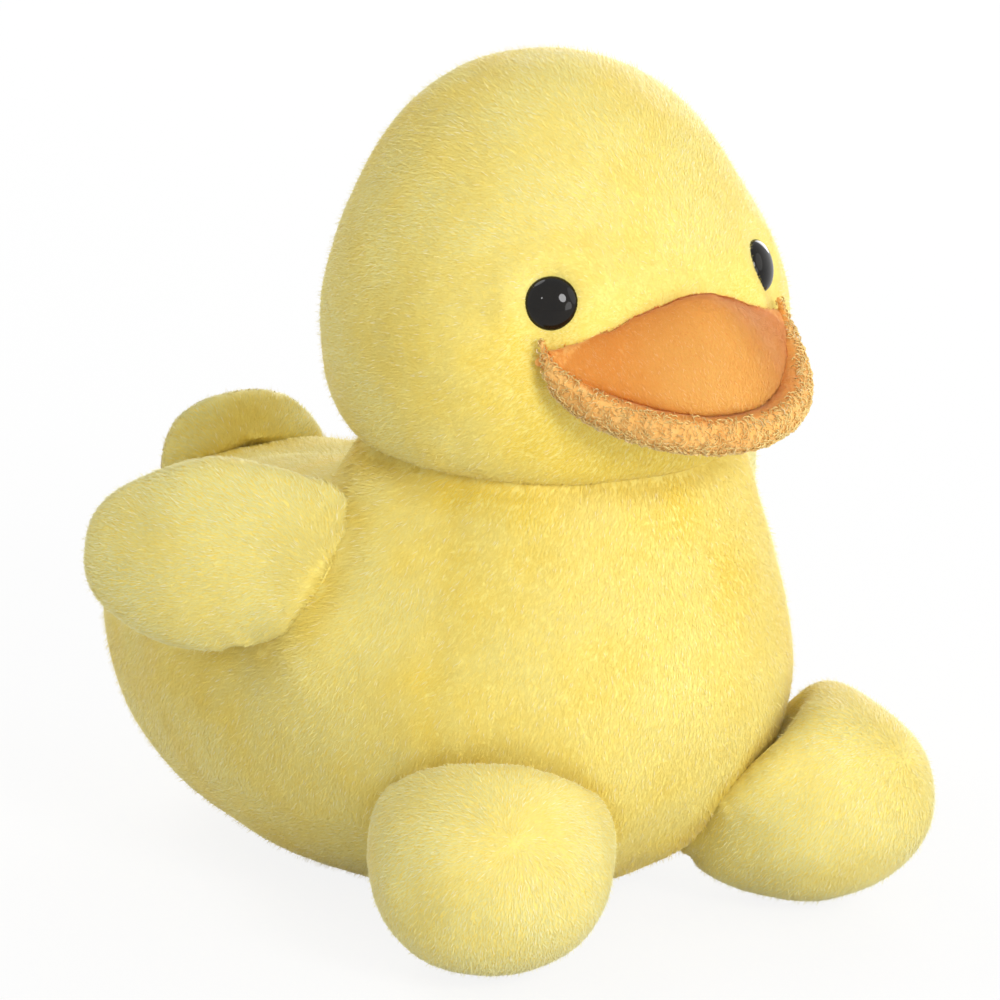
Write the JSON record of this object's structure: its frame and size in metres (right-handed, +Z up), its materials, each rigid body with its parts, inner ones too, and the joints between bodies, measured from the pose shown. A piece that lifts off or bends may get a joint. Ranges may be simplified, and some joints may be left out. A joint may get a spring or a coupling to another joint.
{
  "type": "plush duck toy",
  "caption": "Sitting plush duck with a large round head, short wings, splayed bean-filled feet, an upright tail and a padded bill with a thick soft lip.",
  "frame": {"origin": "on the surface that the toy sits on, under the middle of its bounding box", "axes": "+Z up, the duck faces -Y with its tail towards +Y, and its left side is +X"},
  "size_m": [0.1126, 0.136, 0.1231],
  "materials": {
    "yellow_plush": "short soft pile",
    "orange_plush": "very short soft pile",
    "orange_terry": "looped terry pile",
    "gold_thread": "sewing thread",
    "white_fibre": "loose polyester fibre",
    "pouch_fabric": "plain woven cloth",
    "clear_pellets": "loose plastic pellets",
    "black_plastic": "polished",
    "white_plastic": "moulded"
  },
  "bodies": {
    "body": {"body_skin": "yellow_plush", "body_stuffing": "white_fibre", "pellet_pouch": "pouch_fabric", "pellets": "clear_pellets"},
    "neck_ring": {"neck_seam_thread": "gold_thread"},
    "head": {"head_skin": "yellow_plush", "head_stuffing": "white_fibre", "right_eye": "black_plastic", "right_eye_washer": "white_plastic", "left_eye": "black_plastic", "left_eye_washer": "white_plastic", "upper_bill_skin": "orange_plush", "upper_bill_padding": "white_fibre", "lower_bill_skin": "orange_terry", "lower_bill_padding": "white_fibre"},
    "right_wing": {"right_wing_skin": "yellow_plush", "right_wing_stuffing": "white_fibre"},
    "left_wing": {"left_wing_skin": "yellow_plush", "left_wing_stuffing": "white_fibre"},
    "right_foot": {"right_foot_skin": "yellow_plush", "right_foot_pellets": "clear_pellets"},
    "left_foot": {"left_foot_skin": "yellow_plush", "left_foot_pellets": "clear_pellets"},
    "tail": {"tail_skin": "yellow_plush", "tail_stuffing": "white_fibre"}
  },
  "joints": [
    {"name": "head_turn", "type": "hinge", "parent": "body", "child": "neck_ring", "pos_m": [0, -0.01995, 0.0488], "axis": [0, 0, 1], "range_deg": [-20, 20]},
    {"name": "head_nod", "type": "hinge", "parent": "neck_ring", "child": "head", "pos_m": [0, -0.01995, 0.0488], "axis": [1, 0, 0], "range_deg": [-8, 12]},
    {"name": "right_wing_swing", "type": "hinge", "parent": "body", "child": "right_wing", "pos_m": [-0.0352, -0.01545, 0.0508], "axis": [0.515, 0, 0.8572], "range_deg": [-8, 30]},
    {"name": "left_wing_swing", "type": "hinge", "parent": "body", "child": "left_wing", "pos_m": [0.0352, -0.01545, 0.0508], "axis": [-0.515, 0, 0.8572], "range_deg": [-30, 8]},
    {"name": "right_foot_lift", "type": "hinge", "parent": "body", "child": "right_foot", "pos_m": [-0.02544, -0.04162, 0.013], "axis": [-0.809, 0.5878, 0], "range_deg": [0, 12]},
    {"name": "left_foot_lift", "type": "hinge", "parent": "body", "child": "left_foot", "pos_m": [0.02544, -0.04162, 0.013], "axis": [-0.809, -0.5878, 0], "range_deg": [0, 12]},
    {"name": "tail_sway", "type": "hinge", "parent": "body", "child": "tail", "pos_m": [0, 0.05405, 0.0473], "axis": [-1, 0, 0], "range_deg": [-8, 8]}
  ]
}
